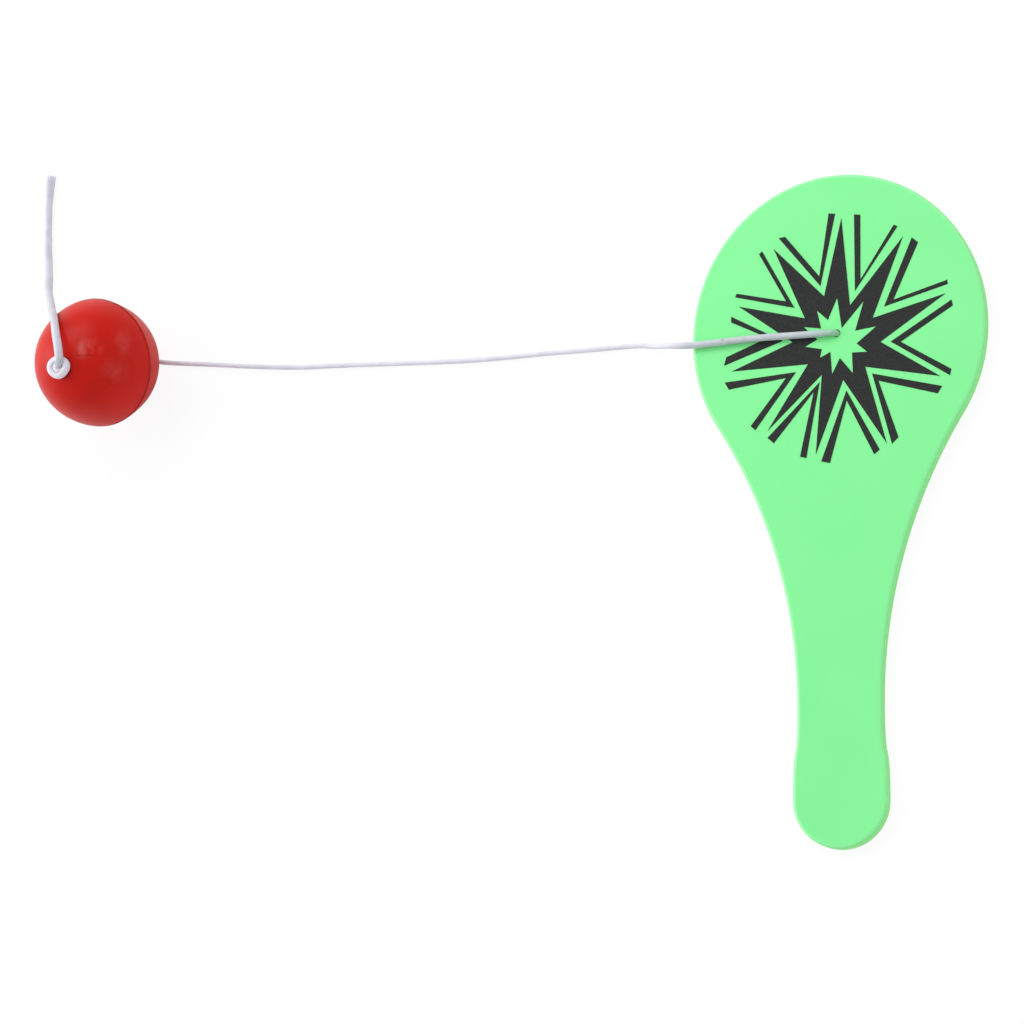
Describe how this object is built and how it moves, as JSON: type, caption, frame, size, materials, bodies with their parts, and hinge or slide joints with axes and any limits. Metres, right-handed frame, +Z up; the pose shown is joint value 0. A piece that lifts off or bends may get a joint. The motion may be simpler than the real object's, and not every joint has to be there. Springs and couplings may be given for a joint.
{
  "type": "paddle ball game",
  "caption": "Moulded paddle with a printed starburst, lying flat, with a hollow rubber ball tied to it by a length of elastic cord.",
  "frame": {"origin": "on the table, under the middle of the box that holds the paddle and the ball (the cord and its knots are left out of that box)", "axes": "+X from the ball to the paddle, +Y to the top of the blade, away from the handle, +Z up from the table"},
  "size_m": [0.3185, 0.2315, 0.0444],
  "materials": {
    "paddle_plastic": "satin moulded neon green plastic, very slightly mottled",
    "print_ink": "flat charcoal ink",
    "elastic_cord": "smooth pale elastic with a faint lavender cast",
    "ball_rubber": "smooth red rubber with broad soft highlights"
  },
  "bodies": {
    "paddle": {"paddle": "paddle_plastic", "starburst_print": "print_ink"},
    "cord_swivel": {"anchor_knot": "elastic_cord", "cord_neck": "elastic_cord"},
    "cord_lift": {"elastic_root": "elastic_cord", "elastic_span": "elastic_cord"},
    "cord_end": {"cord_in_ball": "elastic_cord", "ball_knot": "elastic_cord", "elastic_tail": "elastic_cord"},
    "ball": {"ball_half_near": "ball_rubber", "ball_half_far": "ball_rubber"}
  },
  "joints": [
    {"name": "cord_swing", "type": "hinge", "parent": "paddle", "child": "cord_swivel", "pos_m": [0.10798, 0.052, 0], "axis": [0, 0, 1], "range_deg": [-220, 40]},
    {"name": "cord_lift", "type": "hinge", "parent": "cord_swivel", "child": "cord_lift", "pos_m": [0.10798, 0.052, 0.0052], "axis": [0, 1, 0], "range_deg": [0, 90], "deforming": ["cord_neck"]},
    {"name": "elastic_pull", "type": "slide", "parent": "cord_lift", "child": "cord_end", "axis": [-1, 0, 0], "range_m": [0, 0.3], "stiffness_N_per_m": 8, "deforming": ["elastic_span"]},
    {"name": "ball_spin", "type": "hinge", "parent": "cord_end", "child": "ball", "pos_m": [-0.13252, 0.0575, 0.0199], "axis": [-0.1376, -0.2951, 0.9455], "continuous": true}
  ]
}
